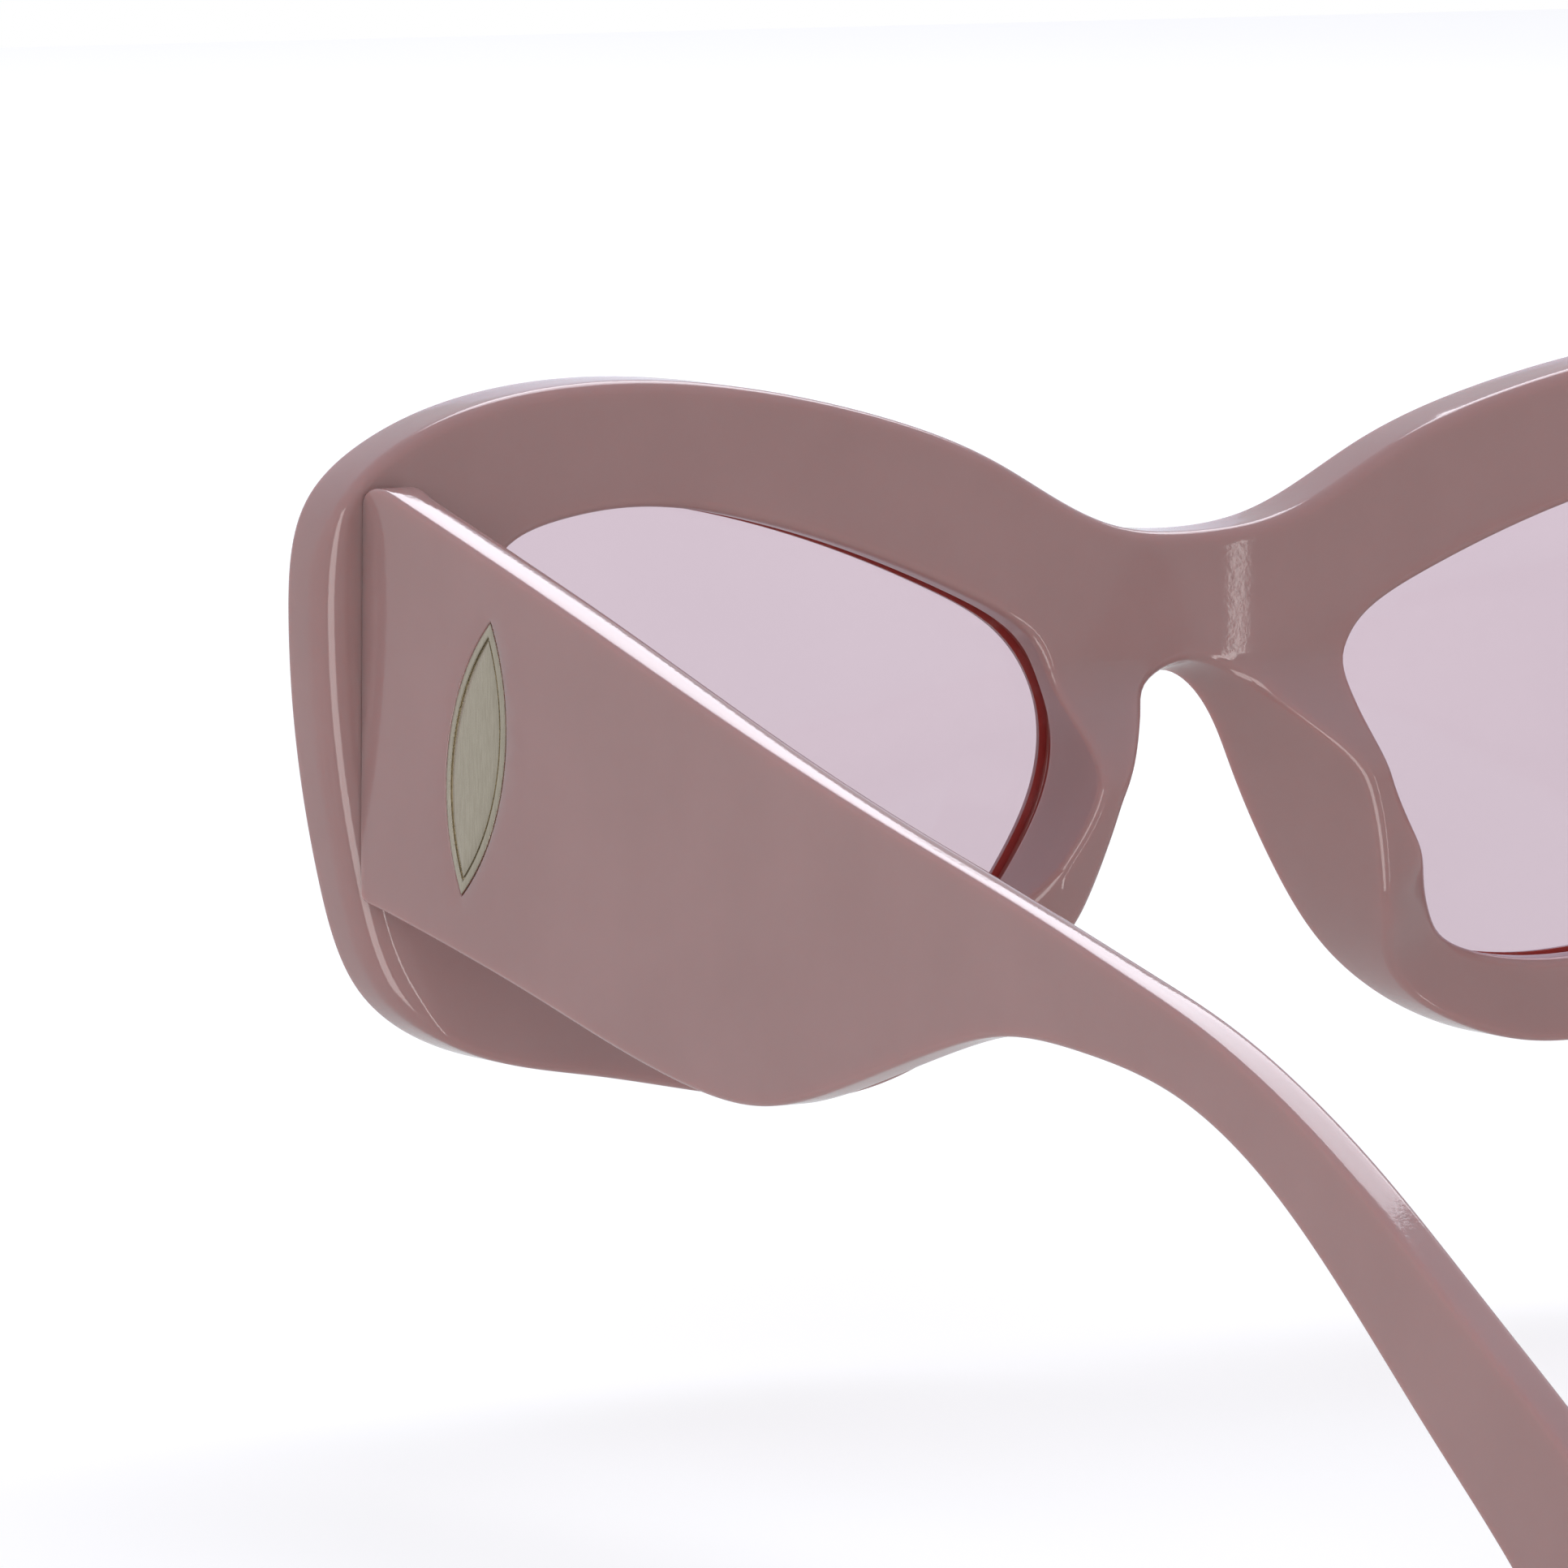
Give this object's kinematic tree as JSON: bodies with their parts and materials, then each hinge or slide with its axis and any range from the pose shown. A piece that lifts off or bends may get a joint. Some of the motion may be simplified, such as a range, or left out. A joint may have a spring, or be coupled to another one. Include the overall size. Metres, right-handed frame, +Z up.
{
  "type": "cat eye sunglasses",
  "caption": "Acetate cat eye sunglasses with pale tinted lenses, cemented nose pads, broad tapering temples on barrel hinges and a metal inlay on each temple.",
  "frame": {"origin": "middle of the bridge on the rear face of the front", "axes": "+X to the wearer's left, +Y back along the open temples, +Z up"},
  "size_m": [0.1436, 0.1435, 0.0662],
  "materials": {
    "acetate": "polished",
    "lens": "pale tint",
    "hinge_metal": "satin",
    "screw_metal": "satin",
    "core_metal": "matt",
    "inlay_metal": "brushed"
  },
  "bodies": {
    "front": {"front_frame": "acetate", "left_lens": "lens", "right_lens": "lens", "left_nose_pad": "acetate", "right_nose_pad": "acetate", "left_front_hinge": "hinge_metal", "right_front_hinge": "hinge_metal", "left_hinge_screw": "screw_metal", "right_hinge_screw": "screw_metal", "left_front_fixings": "screw_metal", "right_front_fixings": "screw_metal"},
    "left_arm": {"left_temple": "acetate", "left_temple_hinge": "hinge_metal", "left_temple_fixings": "screw_metal", "left_core_wire": "core_metal", "left_inlay": "inlay_metal"},
    "right_arm": {"right_temple": "acetate", "right_temple_hinge": "hinge_metal", "right_temple_fixings": "screw_metal", "right_core_wire": "core_metal", "right_inlay": "inlay_metal"}
  },
  "joints": [
    {"name": "left_fold", "type": "hinge", "parent": "front", "child": "left_arm", "pos_m": [0.0621, 0.00657, -0.0045], "axis": [0, 0, 1], "range_deg": [0, 85.5]},
    {"name": "right_fold", "type": "hinge", "parent": "front", "child": "right_arm", "pos_m": [-0.0621, 0.00657, -0.0045], "axis": [0, 0, -1], "range_deg": [0, 89.5]}
  ]
}
